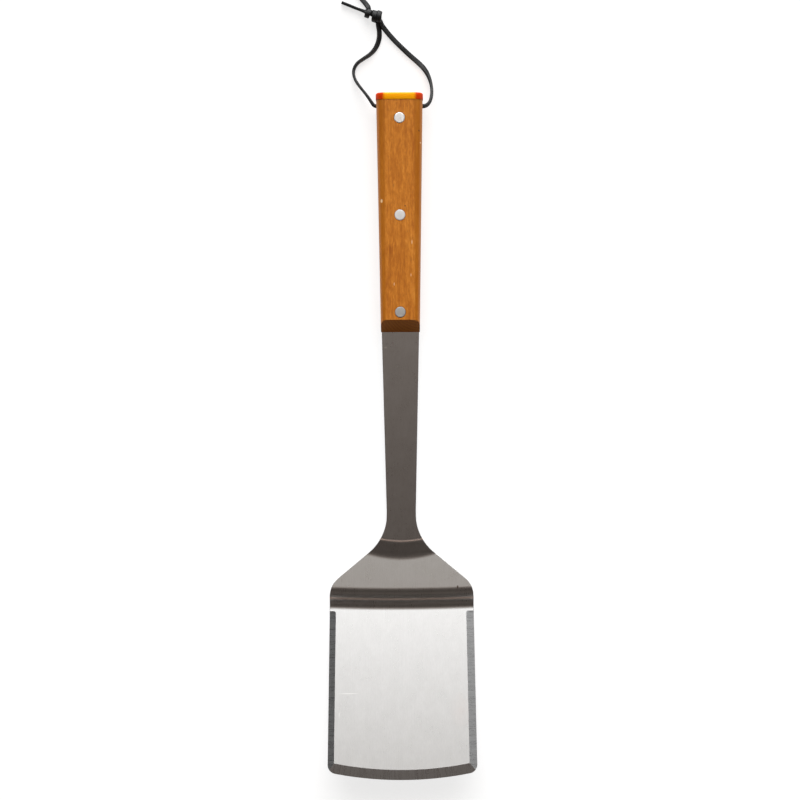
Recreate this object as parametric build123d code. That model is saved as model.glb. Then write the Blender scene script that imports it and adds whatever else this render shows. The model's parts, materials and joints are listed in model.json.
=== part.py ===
from build123d import *
from math import asin, atan2, cos, degrees, hypot, pi, radians, sin, tan
import os

# A grill spatula: a bent steel plate that runs on as a full tang between two riveted wood scales,
# an aluminium end cap held by two hidden pins, and a leather hanging lace through the butt.
# It lies face up with its handle towards +Y, on the heel under its blade and its front wood edge.

# ---- Driving dimensions, in millimetres and degrees ------------------------------------------

# Steel plate, measured from the front edge between the corner points of its bends.
PLATE = 2.5
BLADE_RUN = 127.9
RISER_RUN = 7.8
RISER_RISE = 9.6
SHOULDER_RUN = 26.0
SHOULDER_ANGLE = 7.0
JOGGLE_RUN = 9.8
JOGGLE_RISE = 5.0
SHANK_RUN = 154.8
SHANK_ANGLE = 15.8
BEND_RADII = (10.8, 8.0, 22.0, 26.0)

# The blank's outline, seen from above the flat blade.
FRONT_WIDTH = 108.8
HEEL_WIDTH = 106.3
FRONT_ARC = 260.0
FRONT_CORNER = 6.5
SHOULDER_SPLAY = 50.4
SHOULDER_TIP = 5.0
SHOULDER_CORNER = 17.6
NECK_WIDTH = 20.5
NECK_RADIUS = 32.6
SHANK_WIDTH = 27.5

# Ground edges on the blade's upper face. The long ones stop square before the heel bend.
EDGE_LAND = 0.9
LEFT_GRIND = 4.6
RIGHT_GRIND = 5.6
FRONT_GRIND = 7.1
GRIND_STOP = 4.9
GRIND_CORNER = 1.5

# Handle scales. The tang is a little narrower than the wood and stops short of the butt.
WOOD_LENGTH = 169.6
WOOD_THICK = 20.5
BUTT_WIDTH = 34.0
WOOD_FRONT_WIDTH = 28.5
BUTT_ROUND = 6.2
FRONT_ROUND = 3.6
FRONT_BEVEL = 8.9
TANG_INSET = 0.5
TANG_GAP = 7.6
TANG_CORNER = 3.0
TANG_SLACK = 0.1
FACE_SKIM = 0.03

# Compression rivets, placed from the wood's butt end.
RIVET_FIRST = 13.5
RIVET_PITCH = 70.8
RIVET_COUNT = 3
HEAD_DIAMETER = 7.8
HEAD_THICK = 1.3
HEAD_PROUD = 0.1
HEAD_CHAMFER = 0.2
TUBE_DIAMETER = 5.0
POST_DIAMETER = 3.2
TUBE_CLEAR = 1.0
RIVET_SLACK = 0.06

# End cap and its two pins.
CAP_THICK = 5.0
CAP_PROUD = 0.3
CAP_EDGE = 0.6
PIN_DIAMETER = 3.0
PIN_OFFSET = 6.2
PIN_IN_WOOD = 7.5
PIN_IN_CAP = 3.4

# Lace, its hole on the seam between the scales, and its knot.
LACE = 3.0
LACE_HOLE = 4.4
LACE_HOLE_FROM_BUTT = 4.2
LACE_HOLE_CHAMFER = 0.4
LACE_MOUTH = 17.2
KNOT = 8.0

# The lace's routes: x and y from the hole's centre, z above the surface that the spatula lies on.
LACE_RIGHT = [
    (17.2, 0.0, 13.72),
    (19.2, 0.0, 13.72),
    (21.3, 0.8, 13.5),
    (23.2, 3.4, 12.7),
    (24.5, 8.0, 10.9),
    (24.8, 13.2, 8.1),
    (24.0, 18.8, 5.0),
    (22.3, 24.0, 3.1),
    (19.2, 29.2, 2.0),
    (14.8, 33.6, 1.5),
    (9.2, 38.3, 1.5),
    (2.8, 44.6, 1.5),
    (-3.6, 51.4, 1.5),
    (-9.2, 58.0, 1.9),
    (-13.4, 64.2, 3.2),
]
LACE_LEFT = [
    (-17.2, 0.0, 13.72),
    (-19.2, 0.0, 13.72),
    (-21.0, 1.2, 13.5),
    (-22.4, 3.4, 12.8),
    (-23.8, 7.4, 11.3),
    (-25.3, 10.8, 9.0),
    (-28.8, 15.1, 6.4),
    (-32.1, 20.2, 3.9),
    (-33.9, 25.7, 2.1),
    (-32.8, 31.6, 1.5),
    (-28.3, 36.1, 1.5),
    (-22.3, 39.5, 1.5),
    (-17.4, 44.2, 1.5),
    (-14.8, 50.4, 1.5),
    (-14.2, 56.8, 2.0),
    (-15.9, 63.4, 3.4),
]
KNOT_ENDS = [(-15.4, 67.3, 4.1), (-23.0, 70.0, 4.1)]
TAIL_LEFT = [
    (-21.4, 70.4, 3.8),
    (-26.6, 72.3, 2.7),
    (-32.2, 74.6, 1.8),
    (-37.4, 76.8, 1.5),
    (-42.2, 78.7, 1.5),
]
TAIL_RIGHT = [
    (-20.2, 70.6, 4.0),
    (-22.6, 75.0, 2.7),
    (-26.2, 79.6, 1.8),
    (-30.0, 84.2, 1.5),
    (-32.2, 89.2, 1.5),
]

FAR = 400.0     # larger than any cross-section that a cutter has to pass through


# ---- Side profile ----------------------------------------------------------------------------

def profile_corners():
    """Corner points (y, z) of the plate's middle layer, from the front edge to the wood's front."""
    level = PLATE / 2
    shoulder = radians(SHOULDER_ANGLE)
    shank = radians(SHANK_ANGLE)
    points = [(0.0, level), (BLADE_RUN, level)]
    runs = [
        (RISER_RUN, RISER_RISE),
        (SHOULDER_RUN * cos(shoulder), SHOULDER_RUN * sin(shoulder)),
        (JOGGLE_RUN, JOGGLE_RISE),
        (SHANK_RUN * cos(shank), SHANK_RUN * sin(shank)),
    ]
    for along, up in runs:
        y, z = points[-1]
        points.append((y + along, z + up))
    return points


CORNERS = profile_corners()
HEEL, RISER_TOP, SHOULDER_END, NECK, WOOD_FRONT = CORNERS[1:]

# The handle's own frame: origin where the plate enters the wood, +Y to the butt, +Z out of its face.
HANDLE = Location((0, *WOOD_FRONT), (SHANK_ANGLE, 0, 0))
TANG_LENGTH = WOOD_LENGTH - TANG_GAP


def resting_place():
    """Turn and shift that lay the spatula on its heel bend and on the lower edge of its front wood."""
    riser_slope = atan2(RISER_RISE, RISER_RUN)
    heel_outer = BEND_RADII[0] + PLATE / 2
    heel_centre = (HEEL[0] - BEND_RADII[0] * tan(riser_slope / 2), HEEL[1] + BEND_RADII[0])
    wood_edge = (HANDLE * Pos(0, FRONT_BEVEL, -WOOD_THICK / 2)).position
    along = wood_edge.Y - heel_centre[0]
    up = wood_edge.Z - heel_centre[1]
    tilt = atan2(up, along) + asin(heel_outer / hypot(along, up))
    turned = Rot(-degrees(tilt), 0, 0)
    lowest = (turned * Pos(0, *heel_centre)).position.Z - heel_outer
    front = (turned * Pos(0, 0, 0)).position.Y
    rear = (turned * HANDLE * Pos(0, WOOD_LENGTH + CAP_THICK, -WOOD_THICK / 2 - CAP_PROUD)).position.Y
    return Pos(0, -(front + rear) / 2, -lowest) * turned


REST = resting_place()
HOLE = (REST * HANDLE * Pos(0, WOOD_LENGTH - LACE_HOLE_FROM_BUTT, 0)).position


# ---- Steel plate -----------------------------------------------------------------------------

def half_width(y, start, end):
    """Half the width at y of a strip whose full width changes evenly between two (y, width) ends."""
    share = (y - start[0]) / (end[0] - start[0])
    return (start[1] + share * (end[1] - start[1])) / 2


def mirrored_outline(right_side):
    """Closed polygon from its right-hand points and their mirror images."""
    left_side = [(-x, y) for x, y in reversed(right_side)]
    return make_face(Polyline(*right_side, *left_side, close=True))


def blade_half_width(y):
    return half_width(y, (0, FRONT_WIDTH), (HEEL[0], HEEL_WIDTH))


def blank_outline():
    """The plate seen from above: blade, splayed shoulder, tapered shank and tang."""
    neck = (NECK[0], NECK_WIDTH)
    wood = (WOOD_FRONT[0], SHANK_WIDTH)
    tip_y = RISER_TOP[0] + SHOULDER_TIP
    tip_x = HEEL_WIDTH / 2
    splay = tan(radians(SHOULDER_SPLAY))
    # The splayed edge meets the shank's edge where both have the same half width.
    taper = (half_width(wood[0], neck, wood) - half_width(neck[0], neck, wood)) / (wood[0] - neck[0])
    shank_x_at_tip = half_width(tip_y, neck, wood)
    throat_y = tip_y + (tip_x - shank_x_at_tip) / (splay + taper)
    throat = (half_width(throat_y, neck, wood), throat_y)
    tang_end = (HANDLE * Pos(0, TANG_LENGTH, 0)).position.Y
    tang_half = half_width(TANG_LENGTH, (0, WOOD_FRONT_WIDTH), (WOOD_LENGTH, BUTT_WIDTH)) - TANG_INSET
    right = [
        (blade_half_width(-FRONT_CORNER), -FRONT_CORNER),
        (tip_x, HEEL[0]),
        (tip_x, tip_y),
        throat,
        (SHANK_WIDTH / 2, WOOD_FRONT[0]),
        (tang_half, tang_end),
    ]
    outline = mirrored_outline(right) & Pos(0, FRONT_ARC) * Circle(FRONT_ARC)
    outline = round_corners(outline, (tip_x, tip_y), SHOULDER_CORNER)
    outline = round_corners(outline, throat, NECK_RADIUS)
    outline = round_corners(outline, (tang_half, tang_end), TANG_CORNER)
    front = outline.vertices().sort_by(Axis.Y)[:2]
    return fillet(front, FRONT_CORNER)


def round_corners(outline, corner, radius):
    """Round the outline's corner at (x, y) and its mirror image."""
    places = [Vector(*corner), Vector(-corner[0], corner[1])]
    found = [v for v in outline.vertices() if min((Vector(v) - p).length for p in places) < 0.01]
    return fillet(found, radius)


def bent_strip():
    """A wide strip of plate bent along the side profile."""
    tang_end = (HANDLE * Pos(0, TANG_LENGTH, 0)).position
    points = [(0, y, z) for y, z in CORNERS[:-1]] + [tang_end]
    middle = FilletPolyline(*points, radius=BEND_RADII)
    section = Plane(origin=points[0], x_dir=(1, 0, 0), z_dir=(0, 1, 0)) * Rectangle(FAR, PLATE)
    return sweep(section, path=middle)


def grind_section(width):
    """Triangle that a ground edge takes off, from the edge (x = 0) inwards to x = -width."""
    slope = (PLATE - EDGE_LAND) / width
    over = FRONT_CORNER
    return make_face(
        Polyline(
            (-width, PLATE), (over, PLATE - slope * (width + over)), (over, PLATE + over),
            (-width, PLATE + over), close=True,
        )
    )


def side_grind(side, width):
    """Cutter for one long edge of the blade, with a square stop whose inner corner is rounded."""
    slant = degrees(atan2(blade_half_width(0) - blade_half_width(HEEL[0]), HEEL[0]))
    stop = HEEL[0] - GRIND_STOP
    section = Plane(origin=(0, 0, 0), x_dir=(1, 0, 0), z_dir=(0, -1, 0)) * grind_section(width)
    bar = Pos(0, stop, 0) * extrude(section, FAR / 2)
    plan = RectangleRounded(width + FRONT_CORNER, FAR, GRIND_CORNER, align=(Align.MIN, Align.MAX))
    end = Pos(-width, stop, 0) * extrude(plan, 4 * PLATE)
    cutter = Pos(blade_half_width(stop), 0, 0) * (bar & end)
    turned = Pos(0, stop, 0) * Rot(0, 0, slant) * Pos(0, -stop, 0) * cutter
    return turned if side > 0 else mirror(turned, Plane.YZ)


def front_grind():
    """Cutter for the front edge, a cone about the centre of the front arc."""
    section = Plane(origin=(FRONT_ARC, 0, 0), x_dir=(1, 0, 0), z_dir=(0, -1, 0))
    ring = revolve(section * grind_section(FRONT_GRIND), Axis.Z)
    keep = Pos(0, -FRONT_ARC, 0) * Box(FAR, 2 * BLADE_RUN, 8 * PLATE)
    return Pos(0, FRONT_ARC, 0) * (ring & keep)


def steel_plate():
    plate = bent_strip() & Pos(0, 0, -FAR / 2) * extrude(blank_outline(), FAR)
    plate -= side_grind(-1, LEFT_GRIND)
    plate -= side_grind(1, RIGHT_GRIND)
    plate -= front_grind()
    for y in rivet_places():
        plate -= HANDLE * Pos(0, y, 0) * Cylinder(TUBE_DIAMETER / 2 + RIVET_SLACK, FAR / 4)
    return plate


# ---- Handle, in its own frame ----------------------------------------------------------------

def rivet_places():
    return [WOOD_LENGTH - RIVET_FIRST - i * RIVET_PITCH for i in range(RIVET_COUNT)]


def scale_section(y, width, corner):
    """Half of the handle's cross-section, above the seam, before its face is skimmed flat."""
    half = WOOD_THICK / 2 + FACE_SKIM
    face = Pos(0, half / 2) * Rectangle(width, half)
    outer = face.vertices().sort_by(Axis.Y)[-2:]
    return Plane(origin=(0, y, 0), x_dir=(1, 0, 0), z_dir=(0, -1, 0)) * fillet(outer, corner)


def lace_bore():
    """The lace's hole across the handle, a little wider at both mouths."""
    bore = Cylinder(LACE_HOLE / 2, 2 * BUTT_WIDTH)
    flare = Cone(LACE_HOLE / 2, LACE_HOLE / 2 + 2 * LACE_HOLE_CHAMFER, 2 * LACE_HOLE_CHAMFER)
    mouth = Pos(0, 0, BUTT_WIDTH / 2 - LACE_HOLE_CHAMFER / 2) * flare
    cutter = bore + mouth + mirror(mouth, Plane.XY)
    return Pos(0, WOOD_LENGTH - LACE_HOLE_FROM_BUTT, 0) * Rot(0, 90, 0) * cutter


def front_scale():
    """The wood on the handle's face: bevelled front end, tang rebate, rivet, pin and lace holes."""
    half = WOOD_THICK / 2
    sections = [
        scale_section(0, WOOD_FRONT_WIDTH, FRONT_ROUND),
        scale_section(WOOD_LENGTH, BUTT_WIDTH, BUTT_ROUND),
    ]
    scale = loft(sections) - Pos(0, 0, half + FAR / 2) * Box(FAR, FAR, FAR)
    bevel = Polyline((0, PLATE / 2), (FRONT_BEVEL, half), (FRONT_BEVEL, FAR), (-FAR, FAR),
                     (-FAR, PLATE / 2), close=True)
    scale -= extrude(Plane.YZ * make_face(bevel), FAR / 2, both=True)
    scale -= Pos(0, (TANG_LENGTH + TANG_SLACK) / 2, 0) * Box(FAR, TANG_LENGTH + TANG_SLACK, PLATE)
    for y in rivet_places():
        scale -= Pos(0, y, 0) * Cylinder(TUBE_DIAMETER / 2 + RIVET_SLACK, FAR / 4)
        seat = Cylinder(HEAD_DIAMETER / 2 + RIVET_SLACK, FAR / 4)
        scale -= Pos(0, y, half + HEAD_PROUD - HEAD_THICK + FAR / 8) * seat
    scale -= cap_pin(PIN_OFFSET)
    scale -= lace_bore()
    return scale


def back_scale():
    return mirror(front_scale(), Plane.XY)


def rivet_head():
    """A rivet's flat head, its outer face at z = 0."""
    head = Pos(0, 0, -HEAD_THICK / 2) * Cylinder(HEAD_DIAMETER / 2, HEAD_THICK)
    return chamfer(head.edges().group_by(Axis.Z)[-1], HEAD_CHAMFER)


def rivet_tube(y):
    """The half of a rivet with its head on the handle's face and a hollow shank."""
    top = WOOD_THICK / 2 + HEAD_PROUD
    length = 2 * top - 2 * HEAD_THICK - TUBE_CLEAR
    shank = Pos(0, 0, -HEAD_THICK - length / 2) * Cylinder(TUBE_DIAMETER / 2, length)
    bore = Pos(0, 0, -HEAD_THICK - length / 2) * Cylinder(POST_DIAMETER / 2, length)
    return Pos(0, y, top) * (rivet_head() + shank - bore)


def rivet_post(y):
    """The half of a rivet with its head on the back and a solid post pressed into the tube."""
    top = WOOD_THICK / 2 + HEAD_PROUD
    length = 2 * top - 2 * HEAD_THICK - TUBE_CLEAR
    post = Pos(0, 0, -HEAD_THICK - length / 2) * Cylinder(POST_DIAMETER / 2, length)
    return Pos(0, y, -top) * Rot(180, 0, 0) * (rivet_head() + post)


def end_cap():
    """Anodised plate over the wood's butt end, with blind holes for its two pins."""
    outline = Rectangle(BUTT_WIDTH + 2 * CAP_PROUD, WOOD_THICK + 2 * CAP_PROUD)
    outline = fillet(outline.vertices(), BUTT_ROUND + CAP_PROUD)
    plane = Plane(origin=(0, WOOD_LENGTH, 0), x_dir=(1, 0, 0), z_dir=(0, 1, 0))
    cap = extrude(plane * outline, CAP_THICK)
    cap = fillet(cap.edges().group_by(Axis.Y)[-1], CAP_EDGE)
    return cap - cap_pin(PIN_OFFSET) - cap_pin(-PIN_OFFSET)


def cap_pin(offset):
    """A pin along the handle, half in a scale and half in the cap."""
    length = PIN_IN_WOOD + PIN_IN_CAP
    middle = WOOD_LENGTH + (PIN_IN_CAP - PIN_IN_WOOD) / 2
    return Pos(0, middle, offset) * Rot(90, 0, 0) * Cylinder(PIN_DIAMETER / 2, length)


# ---- Lace, as it lies ------------------------------------------------------------------------

def laid(points):
    """Route points in the spatula's frame."""
    return [Vector(HOLE.X + x, HOLE.Y + y, z) for x, y, z in points]


def corner_radii(points):
    """The largest arc that each corner's two runs leave room for."""
    radii = []
    for before, corner, after in zip(points, points[1:], points[2:]):
        arriving = corner - before
        leaving = after - corner
        turn = radians(arriving.get_angle(leaving))
        radii.append(0.45 * min(arriving.length, leaving.length) / tan(turn / 2))
    return radii


def lace_tube(name, route):
    points = laid(route)
    radii = corner_radii(points)
    path = FilletPolyline(*points, radius=radii)
    section = Plane(origin=path @ 0, z_dir=path % 0) * Circle(LACE / 2)
    tube = sweep(section, path=path)
    expected = pi * LACE**2 / 4 * path.length
    turns = ", ".join(f"{r:.0f}" for r in radii)
    print(f"{name}: {path.length:.1f} mm long, volume {tube.volume / expected:.3f} of section x length")
    print(f"    arc radii in mm: {turns}")
    return tube


def lace_through():
    """The straight stretch of lace inside the handle."""
    across = Rot(0, 90, 0) * Cylinder(LACE / 2, 2 * LACE_MOUTH)
    return Pos(*HOLE) * across


def lace_knot():
    """The overhand knot's outer shape: a short round-ended bar on the surface."""
    first, last = laid(KNOT_ENDS)
    bar = Cylinder(KNOT / 2, (last - first).length)
    middle = Plane(origin=(first + last) / 2, z_dir=last - first)
    ball = Sphere(KNOT / 2)
    return middle * bar + Pos(*first) * ball + Pos(*last) * ball


# ---- The whole spatula -----------------------------------------------------------------------

def handle_parts():
    parts = {
        "front_scale": front_scale(),
        "back_scale": back_scale(),
        "end_cap": end_cap(),
        "cap_pin_front": cap_pin(PIN_OFFSET),
        "cap_pin_back": cap_pin(-PIN_OFFSET),
    }
    for number, y in enumerate(rivet_places(), start=1):
        parts[f"rivet_tube_{number}"] = rivet_tube(y)
        parts[f"rivet_post_{number}"] = rivet_post(y)
    return parts


def lace_parts():
    knot = lace_knot()
    parts = {"lace_through": lace_through(), "lace_knot": knot}
    routes = {
        "lace_left": LACE_LEFT,
        "lace_right": LACE_RIGHT,
        "lace_tail_left": TAIL_LEFT,
        "lace_tail_right": TAIL_RIGHT,
    }
    for name, route in routes.items():
        parts[name] = lace_tube(name, route) - knot
    return parts


def write(name, shape):
    solid = shape.solids()[0] if len(shape.solids()) == 1 else shape
    solid.label = name
    export_step(solid, f"parts/{name}.step")


def main():
    os.makedirs("parts", exist_ok=True)
    write("blade_plate", REST * steel_plate())
    for name, shape in handle_parts().items():
        write(name, REST * HANDLE * shape)
    for name, shape in lace_parts().items():
        write(name, shape)
    print(f"lace hole centre: {HOLE.X:.2f}, {HOLE.Y:.2f}, {HOLE.Z:.2f}")
    print(f"blade tilt when lying: {-REST.orientation.X:.2f} degrees")


main()
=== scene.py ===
import bpy
import json
import math
import numpy as np
from mathutils import Matrix, Vector


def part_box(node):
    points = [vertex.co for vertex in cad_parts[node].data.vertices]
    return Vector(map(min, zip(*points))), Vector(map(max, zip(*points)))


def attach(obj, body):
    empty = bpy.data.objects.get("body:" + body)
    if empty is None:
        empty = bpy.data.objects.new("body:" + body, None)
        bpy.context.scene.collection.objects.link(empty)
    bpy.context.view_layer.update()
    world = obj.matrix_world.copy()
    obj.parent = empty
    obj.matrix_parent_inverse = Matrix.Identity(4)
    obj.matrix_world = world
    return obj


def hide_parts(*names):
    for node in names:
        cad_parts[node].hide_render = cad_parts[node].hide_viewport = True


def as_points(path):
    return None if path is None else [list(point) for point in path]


# Grill spatula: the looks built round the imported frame. Metres in the frame's own axes: +Y towards
# the handle's butt, +Z up out of the blade. Meshes are drawn in millimetres in one of two local
# frames, the flat blade's and the handle's, and then carried into the frame.

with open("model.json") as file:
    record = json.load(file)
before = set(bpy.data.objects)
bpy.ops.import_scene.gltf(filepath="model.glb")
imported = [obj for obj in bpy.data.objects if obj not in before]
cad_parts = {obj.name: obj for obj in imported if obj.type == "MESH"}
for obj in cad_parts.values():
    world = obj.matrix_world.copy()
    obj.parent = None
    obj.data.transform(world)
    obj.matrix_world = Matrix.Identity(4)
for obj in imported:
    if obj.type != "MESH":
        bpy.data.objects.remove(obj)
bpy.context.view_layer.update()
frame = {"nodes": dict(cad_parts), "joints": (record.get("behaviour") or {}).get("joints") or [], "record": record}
MM = 0.001

# ---- Places that the frame gives ----

MOUNTS = {m["name"]: m for m in frame["record"]["mounts"]}
HINGE = next(j for j in frame["joints"] if j["name"] == "lace_swing")
HOLE = Vector(HINGE["pos_m"])
BLADE_UP = Vector(MOUNTS["lifting_face"]["axis"])
HANDLE_UP = Vector(MOUNTS["handle_face"]["axis"])
FRONT_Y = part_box("blade_plate")[0].y
BUTT_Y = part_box("end_cap")[1].y
RIGID_MIDDLE_Y = (FRONT_Y + BUTT_Y) / 2

# ---- Driving dimensions of the design, millimetres and degrees ----

PLATE = 2.5
BLADE_RUN, RISER_RUN, RISER_RISE = 127.9, 7.8, 9.6
SHOULDER_RUN, SHOULDER_ANGLE = 26.0, 7.0
JOGGLE_RUN, JOGGLE_RISE = 9.8, 5.0
SHANK_RUN, SHANK_ANGLE = 154.8, 15.8
BEND_RADII = (9.0, 8.0, 16.0, 26.0)
FRONT_WIDTH, HEEL_WIDTH = 108.8, 106.3
FRONT_ARC, FRONT_CORNER = 260.0, 6.5
SHOULDER_SPLAY, SHOULDER_TIP, SHOULDER_CORNER = 50.4, 5.0, 17.6
NECK_WIDTH, NECK_RADIUS, SHANK_WIDTH = 20.5, 32.6, 27.5
EDGE_LAND, LEFT_GRIND, RIGHT_GRIND, FRONT_GRIND = 0.9, 4.6, 5.6, 7.1
GRIND_STOP, GRIND_CORNER = 4.9, 1.5
WOOD_LENGTH, WOOD_THICK = 169.6, 20.5
BUTT_WIDTH, WOOD_FRONT_WIDTH, BUTT_ROUND, FRONT_ROUND = 34.0, 28.5, 6.2, 4.4
FRONT_BEVEL, TANG_INSET, TANG_GAP = 8.9, 0.5, 7.6
RIVET_FIRST, RIVET_PITCH, RIVET_COUNT = 13.5, 70.8, 3
HEAD_DIAMETER, HEAD_THICK, HEAD_PROUD, TUBE_DIAMETER = 7.8, 1.3, 0.1, 5.0
TUBE_REACH, POST_RADIUS, POST_REACH = 0.5, 1.6, 17.0
CAP_THICK, CAP_PROUD = 5.0, 0.3
PIN_DIAMETER, PIN_OFFSET, PIN_IN_WOOD, PIN_IN_CAP = 3.0, 6.2, 7.5, 3.4
LACE_HOLE, LACE_HOLE_FROM_BUTT = 4.4, 4.2

# The creases are not quite straight: seen from above, both bow towards the blade in the middle.
NECK_BOW = 75.0
RISER_BOW = 1270.0

# Softened edges, and the small gaps round the rivets.
PLATE_EDGE, WOOD_EDGE, CAP_SOFT, CAP_EDGE = 0.3, 0.35, 0.15, 1.4
SEAT_GAP, BORE_GAP, HEAD_SUNK = 0.25, 0.06, 0.06
STEP_GAP = 0.1

# How finely the steel is drawn: points across a row's flat, angles round its edge, rounds in which
# x and y settle on each other, and how far behind the front the rows keep and then lose its arch.
FLAT_COUNT = 33
EDGE_ARC = (60, 30, 0)
SETTLE_ROUNDS = 4
ARCH_KEPT, ARCH_LOST = 10.0, 70.0
# The grinding cutters start a little inside the cut, and well ahead of the front edge.
OVERCUT, AHEAD = 1.0, 40.0
FRONT_SWEEP, FRONT_STEPS = 16, 97

# Lace: a flat strip, wider than it is thick.
LACE_WIDTH = 3.6 * MM
LACE_THICK = 2.1 * MM
LACE_CORNER = 0.55 * MM

# Camera: straight down, with the handle's end near the top of the view.
CAMERA_HEIGHT = 1.5
VIEW_WIDTH = 0.592
VIEW_SHIFT_X = -0.00055
VIEW_SHIFT_Y = 0.0254
VIEW_ROLL = math.radians(-0.27)
SENSOR = 36.0

X_AXIS, Y_AXIS, Z_AXIS = (Vector(axis) for axis in ((1, 0, 0), (0, 1, 0), (0, 0, 1)))


# ---- The two local frames ----

def profile_corners():
    """Corner points (y, z) of the plate's middle layer in the blade's frame, to the wood's front."""
    shoulder = math.radians(SHOULDER_ANGLE)
    shank = math.radians(SHANK_ANGLE)
    points = [(0.0, PLATE / 2), (BLADE_RUN, PLATE / 2)]
    runs = [
        (RISER_RUN, RISER_RISE),
        (SHOULDER_RUN * math.cos(shoulder), SHOULDER_RUN * math.sin(shoulder)),
        (JOGGLE_RUN, JOGGLE_RISE),
        (SHANK_RUN * math.cos(shank), SHANK_RUN * math.sin(shank)),
    ]
    for along, up in runs:
        y, z = points[-1]
        points.append((y + along, z + up))
    return points


CORNERS = profile_corners()
HEEL, RISER_TOP, SHOULDER_END, NECK, WOOD_FRONT = CORNERS[1:]
TANG_LENGTH = WOOD_LENGTH - TANG_GAP


def frame_through(up, local_point, place):
    """Matrix from a local millimetre frame, whose Z looks along up, that puts a point at a place."""
    turn = Matrix.Rotation(-math.atan2(up.y, up.z), 4, "X")
    shift = place - turn @ (Vector(local_point) * MM)
    return Matrix.Translation(shift) @ turn @ Matrix.Scale(MM, 4)


HANDLE = frame_through(HANDLE_UP, (0, WOOD_LENGTH - LACE_HOLE_FROM_BUTT, 0), HOLE)
BLADE = frame_through(BLADE_UP, (0, *WOOD_FRONT), HANDLE @ Vector((0, 0, 0)))


# ---- Mesh helpers ----

def add_object(name, data):
    made = bpy.data.objects.new(name, data)
    bpy.context.scene.collection.objects.link(made)
    return made


def mesh_object(name, vertices, faces, uvs=None, materials=()):
    """A mesh object; uvs gives one (u, v) pair for each vertex, in millimetres."""
    mesh = bpy.data.meshes.new(name)
    mesh.from_pydata([tuple(v) for v in vertices], [], faces)
    if uvs is not None:
        layer = mesh.uv_layers.new(name="run")
        for loop in mesh.loops:
            layer.data[loop.index].uv = uvs[loop.vertex_index]
    for material in materials:
        mesh.materials.append(material)
    mesh.update()
    return add_object(name, mesh)


def skin(rings):
    """Faces between closed rings of equal length, without the ends."""
    n = len(rings[0])
    faces = []
    for i in range(len(rings) - 1):
        for j in range(n):
            k = (j + 1) % n
            faces.append((i * n + j, i * n + k, (i + 1) * n + k, (i + 1) * n + j))
    return faces


def closed_mesh(name, rings, uvs, material):
    """A solid between closed rings of equal length, with a flat face over each end."""
    n = len(rings[0])
    count = n * len(rings)
    faces = skin(rings) + [tuple(range(n))[::-1], tuple(range(count - n, count))]
    piece = mesh_object(name, [v for ring in rings for v in ring], faces, uvs, [material])
    outwards(piece)
    return piece


def outwards(piece):
    """Turn a closed mesh's faces outwards."""
    if signed_volume(piece.data) < 0:
        piece.data.flip_normals()


def signed_volume(mesh):
    mesh.calc_loop_triangles()
    total = 0.0
    for triangle in mesh.loop_triangles:
        a, b, c = (mesh.vertices[i].co for i in triangle.vertices)
        total += a.dot(b.cross(c))
    return total


def apply_modifiers(piece):
    bpy.context.view_layer.update()
    graph = bpy.context.evaluated_depsgraph_get()
    mesh = bpy.data.meshes.new_from_object(piece.evaluated_get(graph))
    piece.modifiers.clear()
    old = piece.data
    piece.data = mesh
    bpy.data.meshes.remove(old)
    piece.data.name = piece.name


def carve(piece, cutters):
    """Take the cutters out of a piece; the faces they leave keep the cutters' material and UVs."""
    for cutter in cutters:
        outwards(cutter)
        modifier = piece.modifiers.new("carve", "BOOLEAN")
        modifier.operation = "DIFFERENCE"
        modifier.solver = "EXACT"
        modifier.material_mode = "TRANSFER"
        modifier.object = cutter
    apply_modifiers(piece)
    for cutter in cutters:
        bpy.data.objects.remove(cutter)


def round_edges(piece, width, angle=35.0, segments=2):
    """A small round on every edge sharper than the angle."""
    modifier = piece.modifiers.new("round", "BEVEL")
    modifier.width = width * MM
    modifier.segments = segments
    modifier.limit_method = "ANGLE"
    modifier.angle_limit = math.radians(angle)
    modifier.harden_normals = False
    apply_modifiers(piece)


def smooth(piece, angle):
    piece.data.shade_smooth()
    piece.data.set_sharp_from_angle(angle=math.radians(angle))


def finish_piece(piece, body, nodes):
    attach(piece, body)
    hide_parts(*nodes)
    return piece


def rounded_line(points, radii, step=3.0):
    """Points of a flat polyline whose inner corners are arcs; a radius of 0 leaves a corner sharp."""
    places = [Vector(p) for p in points]
    made = [places[0]]
    for before, corner, after, radius in zip(places, places[1:], places[2:], radii):
        arriving = (corner - before).normalized()
        leaving = (after - corner).normalized()
        turn = arriving.angle_signed(leaving)
        reach = radius * math.tan(abs(turn) / 2)
        count = max(1, round(math.degrees(abs(turn)) / step)) if radius else 0
        if not count:
            made.append(corner)
            continue
        start = corner - arriving * reach
        inward = Vector((-arriving.y, arriving.x)) * (1 if turn < 0 else -1)
        centre = start + inward * radius
        for i in range(count + 1):
            spoke = start - centre
            spoke.rotate(Matrix.Rotation(-turn * i / count, 2))
            made.append(centre + spoke)
    made.append(places[-1])
    return np.array([tuple(p) for p in made])


# ---- Materials ----

# Small marks of use on the handle's face: x, y in the frame, half sizes (all in mm) and colour.
PALE_MARK, DARK_MARK = (0.80, 0.56, 0.30), (0.10, 0.035, 0.010)
WOOD_MARKS = [
    (-13.3, 170.6, 0.9, 1.7, PALE_MARK),
    (15.3, 213.0, 0.5, 0.8, PALE_MARK),
    (8.7, 140.6, 0.35, 1.9, PALE_MARK),
    (7.9, 116.6, 0.3, 1.4, PALE_MARK),
    (-4.4, 110.0, 0.3, 1.5, PALE_MARK),
    (3.9, 167.0, 0.5, 0.7, DARK_MARK),
    (14.2, 221.7, 0.6, 0.8, DARK_MARK),
]
MARK_HEIGHT, MARK_REACH = 22.0, 9.0
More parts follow.
